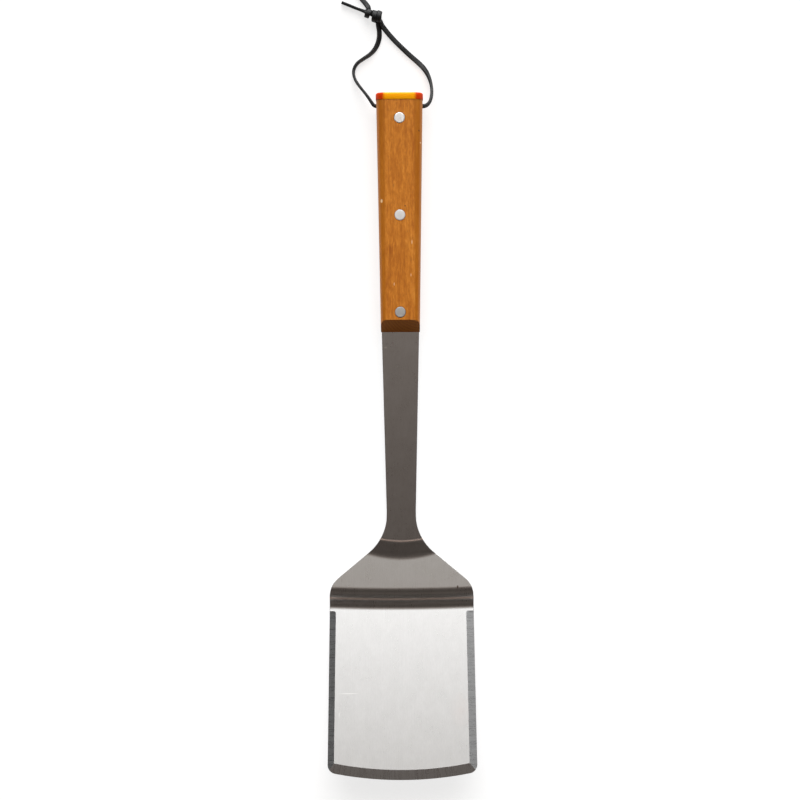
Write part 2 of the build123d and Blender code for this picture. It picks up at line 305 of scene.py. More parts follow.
# The same on the steel, with x and y in the blade's frame.
SCRATCH = (0.75, 0.74, 0.73)
STEEL_MARKS = [
    (41.2, 139.4, 0.7, 1.2, (0.16, 0.13, 0.11)),
    (-10.9, 309.4, 1.3, 0.8, (0.80, 0.78, 0.76)),
    (-39.0, 62.3, 8.5, 0.4, SCRATCH),
    (-46.0, 47.0, 0.35, 2.2, SCRATCH),
]
# The painted highlights along the bends lie this far past the corners of the heel and the neck;
# one is solid up to the first distance from its middle and has faded out at the second.
HEEL_HIGHLIGHT_PAST, NECK_HIGHLIGHT_PAST = 4.1, 1.1
HIGHLIGHT_SOLID, HIGHLIGHT_GONE = 0.05, 1.15
# The painted shade bands on the rounded edges start this far in from the wood's sides.
SHADE_BAND_INSET = 3.6


def add_node(tree, kind, inputs, **settings):
    """A shader node with these settings and inputs, which are values or sockets."""
    node = tree.nodes.new("ShaderNode" + kind)
    for key, value in settings.items():
        setattr(node, key, value)
    for key, value in inputs.items():
        if isinstance(value, bpy.types.NodeSocket):
            tree.links.new(value, node.inputs[key])
        else:
            node.inputs[key].default_value = value
    return node


def set_stops(node, stops):
    """Give a colour ramp its stops of (position, colour or grey level)."""
    elements = node.color_ramp.elements
    while len(elements) < len(stops):
        elements.new(0.5)
    for element, (position, colour) in zip(elements, stops):
        element.position = position
        element.color = (*colour, 1) if isinstance(colour, tuple) else (colour, colour, colour, 1)


class Surface:
    """A procedural material in the making: short ways to add nodes to its tree."""

    def __init__(self, name, **values):
        self.material = bpy.data.materials.new(name)
        self.material.use_nodes = True
        self.tree = self.material.node_tree
        self.shader = self.tree.nodes["Principled BSDF"]
        for label, value in values.items():
            self.shader.inputs[label.replace("_", " ")].default_value = value

    def add(self, kind, output, inputs, **settings):
        return add_node(self.tree, kind, inputs, **settings).outputs[output]

    def calc(self, operation, *values):
        """One step of arithmetic on values or sockets."""
        return self.add("Math", "Value", dict(enumerate(values)), operation=operation)

    def fade(self, value, low, high, start, end):
        """From start to end as the value goes from low to high."""
        inputs = {"Value": value, "From Min": low, "From Max": high, "To Min": start, "To Max": end}
        return self.add("MapRange", "Result", inputs)

    def axes(self, place):
        """The three coordinates of a place."""
        return self.add("SeparateXYZ", "X", {"Vector": place}).node.outputs

    def use(self, socket, label):
        self.tree.links.new(socket, self.shader.inputs[label])

    def run(self, across=1.0, along=1.0, shift=(0.0, 0.0, 0.0)):
        """Texture coordinates in millimetres over the surface, scaled across and along it."""
        uv = self.add("UVMap", "UV", {}, uv_map="run")
        inputs = {"Vector": uv, "Scale": (across, along, 1), "Location": shift}
        return self.add("Mapping", "Vector", inputs)

    def brush(self):
        """Lay the brushed sheen across the lines that run along the surface."""
        tangent = self.add("Tangent", "Tangent", {}, direction_type="UV_MAP", uv_map="run")
        self.use(tangent, "Tangent")

    def body(self, scale=(1.0, 1.0, 1.0), shift=(0.0, 0.0, 0.0)):
        """Texture coordinates in millimetres through the solid, scaled on each axis."""
        place = self.add("TexCoord", "Object", {})
        scales = tuple(s / MM for s in scale)
        return self.add("Mapping", "Vector", {"Vector": place, "Scale": scales, "Location": shift})

    def noise(self, place, detail, roughness=0.6, distortion=0.0):
        inputs = {"Vector": place, "Scale": 1.0, "Detail": detail}
        inputs.update({"Roughness": roughness, "Distortion": distortion})
        return self.add("TexNoise", "Fac", inputs)

    def ramp(self, value, stops):
        """Colours between stops of (position, colour or grey level)."""
        socket = self.add("ValToRGB", "Color", {"Fac": value})
        set_stops(socket.node, stops)
        return socket

    def mix(self, a, b, share, blend="MIX"):
        node = self.tree.nodes.new("ShaderNodeMix")
        node.data_type = "RGBA"
        node.blend_type = blend
        for socket, value in ((node.inputs["Factor"], share), (node.inputs[6], a), (node.inputs[7], b)):
            if isinstance(value, bpy.types.NodeSocket):
                self.tree.links.new(value, socket)
            else:
                socket.default_value = (*value, 1) if isinstance(value, tuple) else value
        return node.outputs[2]

    def spot(self, place, centre, size, soft=0.5):
        """1 inside an oval spot round a centre, falling to 0 past its edge."""
        offset = self.add("VectorMath", "Vector", {0: place, 1: centre}, operation="SUBTRACT")
        scaled = self.add("VectorMath", "Vector", {0: offset, 1: size}, operation="DIVIDE")
        length = self.add("VectorMath", "Value", {0: scaled}, operation="LENGTH")
        return self.fade(length, 1.0 - soft, 1.0, 1.0, 0.0)

    def bump(self, height, depth, before=None):
        """Relief of a height map, its full depth in millimetres."""
        inputs = {"Height": height, "Strength": 1.0, "Distance": depth * MM}
        if before is not None:
            inputs["Normal"] = before
        return self.add("Bump", "Normal", inputs)


def brushed_steel():
    """Satin steel with fine short lines drawn along it and a painted highlight, a faint light line, along two
    bends.
    """
    surface = Surface("brushed_steel", Metallic=1.0, Anisotropic=0.7)
    surface.brush()
    fine = surface.noise(surface.run(2.4, 0.28), detail=4, roughness=0.6)
    long = surface.noise(surface.run(1.6, 0.03, (7, 3, 0)), detail=4)
    cloud = surface.noise(surface.run(0.11, 0.07, (2, 9, 0)), detail=4)
    tone = surface.mix(fine, long, 0.35)
    tone = surface.mix(tone, cloud, 0.35)
    place = surface.run()
    stops = [(0.3, (0.535, 0.53, 0.525)), (0.5, (0.60, 0.595, 0.59)), (0.7, (0.665, 0.66, 0.655))]
    colour = surface.ramp(tone, stops)
    for x, y, wide, tall, mark in STEEL_MARKS:
        colour = surface.mix(colour, mark, surface.spot(place, (x, y, 0), (wide, tall, 1)))
    colour = surface.mix(colour, (0.60, 0.50, 0.46), stain_share(surface, place))
    # Painted highlights: light, pinkish and rougher lines along the heel's and the neck's bends.
    heel_highlight = painted_bend_highlight(surface, place, HEEL[0] + HEEL_HIGHLIGHT_PAST, RISER_BOW, 0.9)
    neck_highlight = painted_bend_highlight(surface, place, NECK[0] + NECK_HIGHLIGHT_PAST, NECK_BOW, 1.0)
    mark = surface.calc("ADD", heel_highlight, neck_highlight)
    colour = surface.mix(colour, (0.88, 0.74, 0.66), mark)
    surface.use(colour, "Base Color")
    rough = surface.ramp(tone, [(0.3, 0.25), (0.7, 0.34)])
    surface.use(surface.mix(rough, (0.8, 0.8, 0.8), mark), "Roughness")
    surface.use(surface.bump(fine, 0.002), "Normal")
    return surface.material


def painted_bend_highlight(surface, place, along, bow, strength):
    """Painted highlight: a thin light line across the plate that bows with its crease."""
    x, y, _ = surface.axes(place)
    bowed = surface.calc("DIVIDE", surface.calc("MULTIPLY", x, x), 2 * bow)
    from_line = surface.calc("SUBTRACT", surface.calc("SUBTRACT", y, bowed), along)
    apart = surface.calc("ABSOLUTE", from_line)
    return surface.fade(apart, HIGHLIGHT_SOLID, HIGHLIGHT_GONE, strength, 0.0)


def stain_share(surface, place):
    """A faint heat stain on the right of the blade."""
    ragged = surface.noise(surface.run(0.12, 0.12, (4, 4, 0)), detail=4)
    near = surface.spot(place, (43.0, 50.0, 0), (9.0, 15.0, 1), soft=0.9)
    return surface.calc("MULTIPLY", surface.calc("MULTIPLY", ragged, near), 0.35)


def ground_steel():
    """The edges as ground on a wheel: fine scratches straight across them."""
    surface = Surface("ground_steel", Metallic=1.0, Anisotropic=0.35)
    surface.brush()
    fine = surface.noise(surface.run(2.6, 0.12), detail=5, roughness=0.75)
    broad = surface.noise(surface.run(0.25, 0.03, (5, 1, 0)), detail=3)
    tone = surface.mix(fine, broad, 0.4)
    surface.use(surface.ramp(tone, [(0.3, (0.47, 0.475, 0.48)), (0.7, (0.64, 0.645, 0.65))]), "Base Color")
    surface.use(surface.ramp(tone, [(0.3, 0.24), (0.7, 0.33)]), "Roughness")
    surface.use(surface.bump(fine, 0.006), "Normal")
    return surface.material


def wood(seed):
    """Oiled hardwood: grain drawn out along the handle, fine pores and softly mottled bands, with painted shade
    and a painted reflection along the rounded edges.
    """
    surface = Surface(f"wood_{seed}", Specular_IOR_Level=0.22, Coat_Weight=0.04, Coat_Roughness=0.35)
    shift = (3.0 * seed, 17.0 * seed, 0.0)
    bands = surface.noise(surface.body((0.22, 0.014, 0.22), shift), detail=3, distortion=0.6)
    grain = surface.noise(surface.body((1.5, 0.075, 1.5), shift), detail=5, roughness=0.65)
    mottle = surface.noise(surface.body((0.5, 0.16, 0.5), shift), detail=4, distortion=0.4)
    pores = surface.noise(surface.body((3.2, 0.24, 3.2), shift), detail=2)
    tone = surface.mix(bands, grain, 0.5)
    tone = surface.mix(tone, mottle, 0.4)
    stops = [
        (0.36, (0.35, 0.092, 0.005)), (0.47, (0.48, 0.147, 0.010)),
        (0.56, (0.60, 0.205, 0.019)), (0.68, (0.72, 0.29, 0.042)),
    ]
    colour = surface.ramp(tone, stops)
    pore = surface.ramp(pores, [(0.60, 0.0), (0.72, 0.7)])
    colour = surface.mix(colour, (0.26, 0.085, 0.014), pore)
    # Painted shade and painted reflection along the rounded edges.
    colour = painted_edge_shade(surface, colour)
    if seed == 1:
        place = surface.body()
        for x, y, wide, tall, mark in WOOD_MARKS:
            spot = surface.spot(place, (x, y, MARK_HEIGHT), (wide, tall, MARK_REACH))
            colour = surface.mix(colour, mark, spot)
    surface.use(colour, "Base Color")
    surface.use(surface.ramp(grain, [(0.3, 0.48), (0.7, 0.62)]), "Roughness")
    relief = surface.bump(pore, -0.03)
    surface.use(surface.bump(grain, 0.03, before=relief), "Normal")
    return surface.material


def painted_edge_shade(surface, colour):
    """Painted shade where the rounded edges start, and a painted reflection that lightens the outermost strips."""
    x, y, _ = surface.axes(surface.body())
    beside = surface.calc("ABSOLUTE", x)
    taper = (BUTT_WIDTH - WOOD_FRONT_WIDTH) / 2 / WOOD_LENGTH
    front_y = HOLE.y / MM - WOOD_LENGTH + LACE_HOLE_FROM_BUTT
    widening = surface.calc("MULTIPLY_ADD", y, taper, -front_y * taper)
    outer = surface.calc("SUBTRACT", beside, widening)
    flat = WOOD_FRONT_WIDTH / 2 - SHADE_BAND_INSET
    # Painted shade: darker just where the rounded edges start.
    painted_shade_band = surface.fade(beside, flat - 0.5, flat + 0.6, 0.0, 0.65)
    colour = surface.mix(colour, (0.36, 0.105, 0.0), painted_shade_band)
    # Painted reflection: the outermost strips are lighter.
    strip = surface.fade(outer, flat + 1.7, flat + 2.9, 0.0, 0.6)
    return surface.mix(colour, (0.50, 0.22, 0.075), strip)


def end_grain(seed):
    """Wood cut across: dark, with growth rings in shallow arcs."""
    surface = Surface(f"end_grain_{seed}", Specular_IOR_Level=0.3)
    centre = (14.0, 0.0, 34.0 * (1 if seed == 1 else -1))
    place = surface.body((1.0, 0.0, 1.0))
    offset = surface.add("VectorMath", "Vector", {0: place, 1: centre}, operation="SUBTRACT")
    wave = {"Vector": offset, "Scale": 0.16, "Distortion": 2.5, "Detail": 3.0, "Detail Scale": 0.6}
    rings = surface.add("TexWave", "Fac", wave, wave_type="RINGS", rings_direction="Y")
    speckle = surface.noise(surface.body((1.6, 1.6, 1.6)), detail=4)
    tone = surface.mix(rings, speckle, 0.8)
    colour = surface.ramp(tone, [(0.25, (0.25, 0.070, 0.004)), (0.75, (0.38, 0.135, 0.014))])
    surface.use(colour, "Base Color")
    surface.use(surface.ramp(tone, [(0.3, 0.55), (0.7, 0.7)]), "Roughness")
    surface.use(surface.bump(speckle, 0.05), "Normal")
    return surface.material


def anodised():
    """Satin orange anodising over turned aluminium, with painted shade that turns the colour a darker red where
    the corners round away.
    """
    surface = Surface("anodised_orange", Specular_IOR_Level=0.1)
    lines = surface.noise(surface.body((0.25, 3.2, 0.25)), detail=3)
    mottle = surface.noise(surface.body((0.5, 0.5, 0.5)), detail=3)
    tone = surface.mix(lines, mottle, 0.4)
    colour = surface.ramp(tone, [(0.3, (1.0, 0.36, 0.0)), (0.7, (1.0, 0.42, 0.001))])
    # Painted shade: the colour turns a darker red towards the rounded corners.
    beside = surface.calc("ABSOLUTE", surface.axes(surface.body())[0])
    flat = BUTT_WIDTH / 2 - BUTT_ROUND
    corner = surface.fade(beside, flat - 0.6, flat + 1.8, 0.0, 1.0)
    colour = surface.mix(colour, (0.62, 0.045, 0.001), corner)
    surface.use(colour, "Base Color")
    surface.use(surface.ramp(tone, [(0.3, 0.36), (0.7, 0.46)]), "Roughness")
    surface.use(surface.bump(lines, 0.006), "Normal")
    return surface.material


def rivet_metal(number, share):
    """Satin aluminium, very lightly marked by the press; share is how bright its colour is painted, a painted
    shade that stands in for a dimmer reflection.
    """
    surface = Surface(f"rivet_metal_{number}", Metallic=0.7)
    rings = surface.noise(surface.run(0.6, 0.05), detail=3)
    marks = surface.noise(surface.body((0.9, 0.9, 0.9)), detail=5)
    tone = surface.mix(rings, marks, 0.5)
    ends = ((0.80, 0.77, 0.74), (0.92, 0.90, 0.88))
    # Painted shade: the rivet's colour is scaled by its share.
    dull, bright = [tuple(share * v for v in colour) for colour in ends]
    surface.use(surface.ramp(tone, [(0.3, dull), (0.7, bright)]), "Base Color")
    surface.use(surface.ramp(tone, [(0.3, 0.42), (0.7, 0.58)]), "Roughness")
    surface.use(surface.bump(tone, 0.015), "Normal")
    return surface.material


def leather():
    """Black waxed lace leather: pebbled, greyer where it is rubbed."""
    surface = Surface("black_leather", Specular_IOR_Level=0.32)
    cells = {"Vector": surface.body(), "Scale": 1.6}
    pebbles = surface.add("TexVoronoi", "Distance", cells)
    creases = surface.noise(surface.body((1.1, 1.1, 1.1)), detail=5)
    rubbed = surface.noise(surface.body((0.22, 0.22, 0.22)), detail=3)
    colour = surface.ramp(creases, [(0.35, (0.0013, 0.0015, 0.0018)), (0.65, (0.0036, 0.004, 0.0045))])
    colour = surface.mix(colour, (0.017, 0.0185, 0.020), surface.ramp(rubbed, [(0.5, 0.0), (0.72, 0.8)]))
    surface.use(colour, "Base Color")
    surface.use(surface.ramp(creases, [(0.3, 0.42), (0.7, 0.60)]), "Roughness")
    relief = surface.bump(pebbles, 0.05)
    surface.use(surface.bump(creases, 0.10, before=relief), "Normal")
    return surface.material


# ---- Steel plate, in the blade's frame ----

def half_width(y, start, end):
    """Half the width at y of a strip whose full width changes evenly between two (y, width) ends."""
    share = (y - start[0]) / (end[0] - start[0])
    return (start[1] + share * (end[1] - start[1])) / 2


def blade_half(y):
    return half_width(y, (0, FRONT_WIDTH), (HEEL[0], HEEL_WIDTH))


def in_blade(y):
    """Y in the blade's frame of a point at y along the handle's seam."""
    return WOOD_FRONT[0] + y * math.cos(math.radians(SHANK_ANGLE))


def outline_line():
    """The plate's right-hand edge from the front to the end of the tang, as (y, half width)."""
    neck, wood_end = (NECK[0], NECK_WIDTH), (WOOD_FRONT[0], SHANK_WIDTH)
    tip = (RISER_TOP[0] + SHOULDER_TIP, HEEL_WIDTH / 2)
    splay = math.tan(math.radians(SHOULDER_SPLAY))
    taper = (SHANK_WIDTH - NECK_WIDTH) / 2 / (wood_end[0] - neck[0])
    throat_y = tip[0] + (tip[1] - half_width(tip[0], neck, wood_end)) / (splay + taper)
    throat = (throat_y, half_width(throat_y, neck, wood_end))
    tang_half = half_width(TANG_LENGTH, (0, WOOD_FRONT_WIDTH), (WOOD_LENGTH, BUTT_WIDTH)) - TANG_INSET
    points = [
        (0, blade_half(0)), (HEEL[0], HEEL_WIDTH / 2), tip, throat,
        (WOOD_FRONT[0], SHANK_WIDTH / 2), (in_blade(TANG_LENGTH), tang_half),
    ]
    return rounded_line(points, (0, SHOULDER_CORNER, NECK_RADIUS, 0))


def side_line():
    """The plate's middle layer seen from the side, as (y, z), on to the end of the tang."""
    rise = TANG_LENGTH * math.sin(math.radians(SHANK_ANGLE))
    end = (in_blade(TANG_LENGTH), WOOD_FRONT[1] + rise)
    return rounded_line([*CORNERS[:-1], end], BEND_RADII, step=1.5)


OUTLINE = outline_line()
SIDE = side_line()
SHOULDER_SLOPE = math.tan(math.radians(SHOULDER_ANGLE))
SHANK_SLOPE = math.tan(math.radians(SHANK_ANGLE))


def middle_height(x, y):
    """Height of the plate's middle layer, with both creases bowed as seen from above."""
    def profile(at):
        return np.interp(at, SIDE[:, 0], SIDE[:, 1])

    def shoulder(at):
        return RISER_TOP[1] + (at - RISER_TOP[0]) * SHOULDER_SLOPE

    def shank(at):
        return NECK[1] + (at - NECK[0]) * SHANK_SLOPE

    def level(at):
        return np.full_like(at, PLATE / 2)

    by_riser = y.mean() < (RISER_TOP[0] + SHOULDER_END[0]) / 2
    lower, upper, bow = (level, shoulder, RISER_BOW) if by_riser else (shoulder, shank, NECK_BOW)
    shifted = y - x**2 / (2 * bow)
    share = (profile(shifted) - lower(shifted)) / (upper(shifted) - lower(shifted))
    if by_riser:
        share = np.where(shifted < HEEL[0] - BEND_RADII[0], 0.0, share)
    else:
        share = np.clip(share, 0.0, None)
    return lower(y) + (upper(y) - lower(y)) * share


def middle_normal(x, y):
    """Upward unit normals of the middle layer."""
    step = 0.05
    slope_x = (middle_height(x + step, y) - middle_height(x - step, y)) / (2 * step)
    slope_y = (middle_height(x, y + step) - middle_height(x, y - step)) / (2 * step)
    normals = np.stack([-slope_x, -slope_y, np.ones_like(x)], axis=1)
    return normals / np.linalg.norm(normals, axis=1)[:, None]


def front_line(x):
    """Y of the arched front edge."""
    return FRONT_ARC - np.sqrt(FRONT_ARC**2 - np.asarray(x, float) ** 2)


def row_ends():
    """For each row across the plate: its distance behind the front at the middle, and its half width."""
    corner_x = blade_half(FRONT_CORNER) - FRONT_CORNER
    corner_y = FRONT_ARC - math.sqrt((FRONT_ARC - FRONT_CORNER) ** 2 - corner_x**2)
    first = math.asin(corner_x / (FRONT_ARC - FRONT_CORNER))
    rows = []
    for angle in np.linspace(first, math.pi / 2, 9):
        x = corner_x + FRONT_CORNER * math.sin(angle)
        y = corner_y - FRONT_CORNER * math.cos(angle)
        rows.append((y - float(front_line(x)), x))
    # Where rows start and end, and how far apart they are: close together over the bends.
    stretches = [
        (ARCH_KEPT, HEEL[0] - 8.0, 9.0),
        (HEEL[0] - 6.0, RISER_TOP[0] + 6.0, 0.45),
        (RISER_TOP[0] + 7.0, SHOULDER_END[0] - 6.0, 1.4),
        (SHOULDER_END[0] - 5.0, NECK[0] + 14.0, 0.6),
        (NECK[0] + 16.0, WOOD_FRONT[0] - 4.0, 6.0),
        (WOOD_FRONT[0], in_blade(TANG_LENGTH), 12.0),
    ]
    for start, end, step in stretches:
        for along in np.linspace(start, end, max(2, round((end - start) / step) + 1)):
            x = 0.0
            for _ in range(SETTLE_ROUNDS):
                y = along + row_arch(along) * front_line(x)
                x = float(np.interp(y, OUTLINE[:, 0], OUTLINE[:, 1]))
            rows.append((along, x))
    return rows


def row_arch(along):
    """How much of the front's arch a row keeps: all of it near the front, none past the middle."""
    return float(np.clip(1.0 - (along - ARCH_KEPT) / ARCH_LOST, 0.0, 1.0))


def plate_ring(along, half):
    """One row's closed ring: x, and height above the middle layer, round the plate."""
    flat = np.linspace(-1, 1, FLAT_COUNT) * (half - PLATE_EDGE)
    arc = np.radians(EDGE_ARC)
    edge_x = half - PLATE_EDGE + PLATE_EDGE * np.cos(arc)
    edge_z = PLATE / 2 - PLATE_EDGE + PLATE_EDGE * np.sin(arc)
    top = np.full_like(flat, PLATE / 2)
    x = np.concatenate([flat, edge_x, edge_x[::-1], flat[::-1], -edge_x, -edge_x[::-1]])
    offset = np.concatenate([top, edge_z, -edge_z[::-1], -top, -edge_z, edge_z[::-1]])
    y = along + row_arch(along) * front_line(x)
    points = np.stack([x, y, middle_height(x, y)], axis=1) + middle_normal(x, y) * offset[:, None]
    return points, np.stack([x, y], axis=1)


def make_plate(steel, ground):
    rings, uvs = [], []
    for along, half in row_ends():
        points, uv = plate_ring(along, half)
        ring = [BLADE @ Vector(p) for p in points]
        rings.append([Vector((p.x, p.y, max(p.z, 0.0))) for p in ring])
        uvs += [tuple(p) for p in uv]
    faces = skin(rings)
    n = len(rings[0])
    edge = 2 * len(EDGE_ARC)
    under = 2 * FLAT_COUNT + edge - 1
    for base, flip in ((0, False), ((len(rings) - 1) * n, True)):
        for i in range(FLAT_COUNT - 1):
            face = (base + i, base + i + 1, base + under - 1 - i, base + under - i)
            faces.append(face[::-1] if flip else face)
        right = tuple(base + i for i in range(FLAT_COUNT - 1, FLAT_COUNT + edge + 1))
        left = tuple(base + i for i in (*range(under, n), 0))
        faces += [right, left]
    plate = mesh_object("blade_plate_steel", [v for ring in rings for v in ring], faces, uvs, [steel])
    outwards(plate)
    cutters = [side_grind(-1, LEFT_GRIND, ground), side_grind(1, RIGHT_GRIND, ground), front_grind(ground)]
    for y in rivet_places():
        cutters.append(rod(Vector((0, y, 0)), Z_AXIS, TUBE_DIAMETER / 2 + BORE_GAP, 4 * PLATE, steel))
    carve(plate, cutters)
    smooth(plate, 12.0)
    return finish_piece(plate, "spatula", ["blade_plate"])


def slab(name, outline, lower, top, uvs, material):
    """A closed block over an (x, y) outline in the blade's frame, between two height functions."""
    n = len(outline)
    points = [(x, y, lower(x, y)) for x, y in outline] + [(x, y, top) for x, y in outline]
    faces = [tuple(range(n)), tuple(range(2 * n - 1, n - 1, -1))]
    faces += [(i, (i + 1) % n, n + (i + 1) % n, n + i) for i in range(n)]
    return mesh_object(name, [BLADE @ Vector(p) for p in points], faces, uvs * 2, [material])


def side_grind(side, width, material):
    """Cutter for one long edge: a slanting cut with a square stop whose inner corner is rounded."""
    over = FRONT_CORNER
    stop = HEEL[0] - GRIND_STOP
    inner = -width - OVERCUT
    lean = (blade_half(0) - blade_half(stop)) / stop
    middle = (-width + GRIND_CORNER, stop - GRIND_CORNER)
    arc = [math.radians(a) for a in np.linspace(90, 180, 8)]
    local = [(inner, -AHEAD), (over, -AHEAD), (over, stop)]
    for a in arc:
        local.append((middle[0] + GRIND_CORNER * math.cos(a), middle[1] + GRIND_CORNER * math.sin(a)))
    local.append((inner, middle[1]))
    slope = (PLATE - EDGE_LAND) / width
    outline, uvs = [], []
    for across, y in local:
        edge = blade_half(stop) + (stop - y) * lean
        outline.append((side * (edge + across), y))
        uvs.append((y, across))

    def lower(x, y):
        return PLATE - slope * (abs(x) - blade_half(stop) - (stop - y) * lean + width)

    return slab("side_grind", outline, lower, PLATE + over, uvs, material)


def front_grind(material):
    """Cutter for the front edge: part of a cone about the centre of the front arc."""
    over = FRONT_CORNER
    slope = (PLATE - EDGE_LAND) / FRONT_GRIND
    inner, outer = FRONT_ARC - FRONT_GRIND - OVERCUT, FRONT_ARC + over
    section = [
        (inner, PLATE + slope * OVERCUT), (outer, PLATE - slope * (FRONT_GRIND + over)),
        (outer, PLATE + over), (inner, PLATE + over),
    ]
    rings, uvs = [], []
    for angle in np.radians(np.linspace(-FRONT_SWEEP, FRONT_SWEEP, FRONT_STEPS)):
        ring = []
        for radius, z in section:
            ring.append(BLADE @ Vector((radius * math.sin(angle), FRONT_ARC - radius * math.cos(angle), z)))
            uvs.append((angle * FRONT_ARC, radius - FRONT_ARC))
        rings.append(ring)
    return closed_mesh("front_grind", rings, uvs, material)


# ---- Handle, in its own frame ----

# Painted shade: how bright each rivet's colour is painted, from the butt, standing in for dimmer reflections
# towards the blade.
RIVET_PAINTED_SHADING = (1.0, 0.92, 0.55)


def rivet_places():
    return [WOOD_LENGTH - RIVET_FIRST - i * RIVET_PITCH for i in range(RIVET_COUNT)]


def turned(name, profile, middle, axis, material, segments=96):
    """A solid turned about an axis through the middle, from (radius, height) points on its outside."""
    side = Y_AXIS if abs(axis.x) > 0.5 else X_AXIS
    other = axis.cross(side)
    rings, uvs = [], []
    for radius, height in profile:
        ring = []
        for i in range(segments):
            angle = 2 * math.pi * i / segments
            spoke = side * math.cos(angle) + other * math.sin(angle)
            ring.append(HANDLE @ (middle + axis * height + spoke * radius))
            uvs.append((radius, angle))
        rings.append(ring)
    return closed_mesh(name, rings, uvs, material)


def rod(middle, axis, radius, length, material):
    return turned("rod", [(radius, -length / 2), (radius, length / 2)], middle, axis, material, 64)


def wood_ring(y, fade, floor):
    """Half of the handle's outside at y, above the seam; fade tilts the ring with the front bevel."""
    ring = []
    half_thick = WOOD_THICK / 2
    for side in (-1, 1):
        steps = np.linspace(0, 1, 9) if side < 0 else np.linspace(1, 0, 9)
        sides = [(side, "wall", s) for s in (0.0, 0.35, 0.7)]
        arc = [(side, "arc", s) for s in steps]
        flat = [(side, "flat", s) for s in (0.75, 0.5, 0.25)]
        ring += sides + arc + flat if side < 0 else flat[::-1] + arc + sides[::-1]
    points = []
    for side, kind, share in ring:
        along = y
        for _ in range(SETTLE_ROUNDS):
            near = min(max(along / WOOD_LENGTH, 0.0), 1.0)
            half = (WOOD_FRONT_WIDTH + near * (BUTT_WIDTH - WOOD_FRONT_WIDTH)) / 2
            corner = FRONT_ROUND + near * (BUTT_ROUND - FRONT_ROUND)
            x, z = ring_point(kind, share, half, half_thick, corner, floor)
            along = y + fade * (z - PLATE / 2) * FRONT_BEVEL / (half_thick - PLATE / 2)
        points.append((side * x, along, z))
    return points


def ring_point(kind, share, half, top, corner, floor):
    if kind == "wall":
        return half, floor + share * (top - corner - floor)
    if kind == "arc":
        angle = math.radians(90 * share)
        return half - corner + corner * math.cos(angle), top - corner + corner * math.sin(angle)
    return (half - corner) * share, top


def make_scale(name, side, material, end_material, node):
    """One wood scale; side is 1 on the handle's face and -1 on its back."""
    step_y = TANG_LENGTH + STEP_GAP
    stations = [(3.0 * i, 1 - i / 4) for i in range(5)]
    stations += [(float(y), 0.0) for y in np.linspace(18.0, step_y, 24)]
    rings = [wood_ring(y, fade, PLATE / 2) for y, fade in stations]
    rings += [wood_ring(step_y, 0.0, 0.0), wood_ring(WOOD_LENGTH, 0.0, 0.0)]
    n = len(rings[0])
    points = [(x, y, z * side) for ring in rings for x, y, z in ring]
    uvs = [(x, y) for ring in rings for x, y, _ in ring]
    faces = skin(rings)
    faces += [tuple(range(n)), tuple(range(len(points) - n, len(points)))[::-1]]
    scale = mesh_object(name, [HANDLE @ Vector(p) for p in points], faces, uvs, [material, end_material])
    scale.data.polygons[len(faces) - 2].material_index = 1
    outwards(scale)
    face_z = side * WOOD_THICK / 2
    cutters = []
    bore = TUBE_DIAMETER / 2 + BORE_GAP
    seat_radius = HEAD_DIAMETER / 2 + SEAT_GAP
    seat = face_z - side * (HEAD_THICK - HEAD_PROUD) + side * WOOD_THICK / 2
    for y in rivet_places():
        cutters.append(rod(Vector((0, y, 0)), Z_AXIS, bore, 4 * WOOD_THICK, material))
        cutters.append(rod(Vector((0, y, seat)), Z_AXIS, seat_radius, WOOD_THICK, material))
    hole = Vector((0, WOOD_LENGTH - LACE_HOLE_FROM_BUTT, 0))
    cutters.append(rod(hole, X_AXIS, LACE_HOLE / 2, 2 * BUTT_WIDTH, material))
    pin = Vector((0, WOOD_LENGTH - PIN_IN_WOOD / 2, side * PIN_OFFSET))
    cutters.append(rod(pin, Y_AXIS, PIN_DIAMETER / 2, PIN_IN_WOOD, material))
    carve(scale, cutters)
    round_edges(scale, WOOD_EDGE)
    smooth(scale, 30.0)
    return finish_piece(scale, "spatula", [node])


def make_rivet(number, y, material):
    """Both halves of a rivet: the head and hollow shank on the face, the head and post on the back."""
    top = WOOD_THICK / 2 + HEAD_PROUD
    radius = HEAD_DIAMETER / 2
    dome = [
        (0.02, 0.02), (radius * 0.5, 0.015), (radius - 0.7, 0.0), (radius - 0.4, -0.01),
        (radius - 0.2, -0.04), (radius - 0.03, -0.17), (radius, -0.3),
    ]
    halves = (("tube", 1, TUBE_DIAMETER / 2, TUBE_REACH), ("post", -1, POST_RADIUS, POST_REACH))
    for name, side, shank, reach in halves:
        head = dome + [(radius, -HEAD_THICK), (shank, -HEAD_THICK - 0.02), (shank, -HEAD_THICK - reach)]
        profile = [(r, h - HEAD_SUNK) for r, h in head][::-1]
        middle, up = Vector((0, y, side * top)), Vector((0, 0, side))
        piece = turned(f"rivet_{name}_{number}_turned", profile, middle, up, material)
        smooth(piece, 50.0)
        finish_piece(piece, "spatula", [f"rivet_{name}_{number}"])


